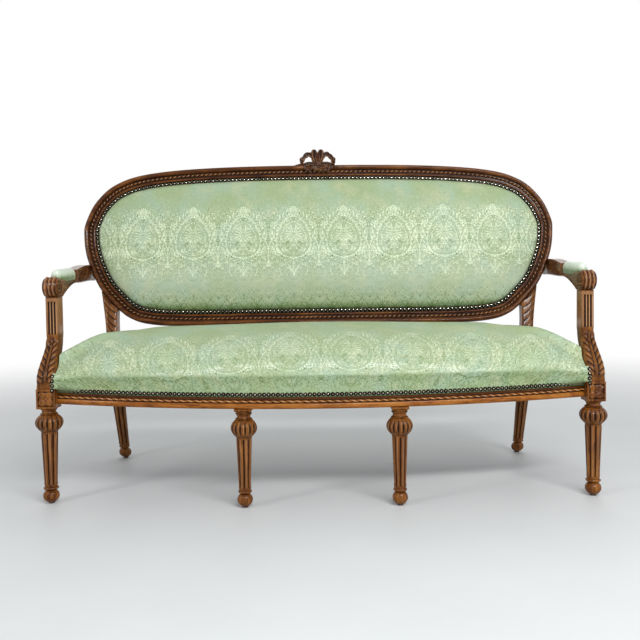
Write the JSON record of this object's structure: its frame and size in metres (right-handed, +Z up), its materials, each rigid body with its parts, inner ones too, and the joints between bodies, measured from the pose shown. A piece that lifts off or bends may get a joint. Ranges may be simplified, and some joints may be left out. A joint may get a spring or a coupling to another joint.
{
  "type": "canape sofa",
  "caption": "Louis XVI style canape with a padded oval medallion back, open arms on curved posts, a bow-fronted stuffed seat and turned, fluted legs under a moulded show-wood frame.",
  "frame": {"origin": "the middle of the whole on the floor plane, under the middle of its width and depth", "axes": "+X towards the sofa's left hand as the picture's viewer sees its right end, +Y from the front rail to the back, +Z up"},
  "size_m": [1.6998, 0.7334, 1.1165],
  "materials": {
    "walnut": "carved walnut, stained dark and French polished",
    "rail_walnut": "the same wood worn lighter and more orange along the seat rails, polished",
    "beech": "planed, unpolished",
    "green_damask": "pale green silk damask with a satin sheen, its pattern lighter than its ground",
    "stuffing": "curled hair under wadding",
    "jute": "woven jute, undyed",
    "cambric": "black woven dust cloth",
    "glide": "dark brown, matt",
    "nail_brass": "domed antique brass nail heads, darkened, bright on their crowns"
  },
  "bodies": {
    "root": {"front_leg_left": "walnut", "front_leg_right": "walnut", "inner_leg_left": "walnut", "inner_leg_right": "walnut", "rear_leg_left": "walnut", "rear_leg_right": "walnut", "glide_front_left": "glide", "glide_front_right": "glide", "glide_inner_left": "glide", "glide_inner_right": "glide", "glide_rear_left": "glide", "glide_rear_right": "glide", "front_rail": "rail_walnut", "side_rail_left": "rail_walnut", "side_rail_right": "rail_walnut", "rear_rail": "beech", "cross_rail_left": "beech", "cross_rail_right": "beech", "corner_block_front_left": "beech", "corner_block_front_right": "beech", "corner_block_rear_left": "beech", "corner_block_rear_right": "beech", "back_top_rail": "walnut", "back_bottom_rail": "walnut", "back_side_left": "walnut", "back_side_right": "walnut", "back_dowel_upper_left": "beech", "back_dowel_upper_right": "beech", "back_dowel_lower_left": "beech", "back_dowel_lower_right": "beech", "arm_post_left": "walnut", "arm_post_right": "walnut", "post_dowel_left": "beech", "post_dowel_right": "beech", "arm_left": "walnut", "arm_right": "walnut", "arm_dowel_left": "beech", "arm_dowel_right": "beech", "arm_rear_dowel_left": "beech", "arm_rear_dowel_right": "beech", "arm_pad_left": "green_damask", "arm_pad_right": "green_damask", "crest_bow": "walnut", "crest_dowel_left": "beech", "crest_dowel_right": "beech", "seat_webbing": "jute", "seat_hessian": "jute", "seat_stuffing": "stuffing", "seat_cover": "green_damask", "seat_dust_cover": "cambric", "back_webbing": "jute", "back_stuffing": "stuffing", "back_cover": "green_damask", "outside_back_cover": "green_damask"}
  },
  "joints": []
}
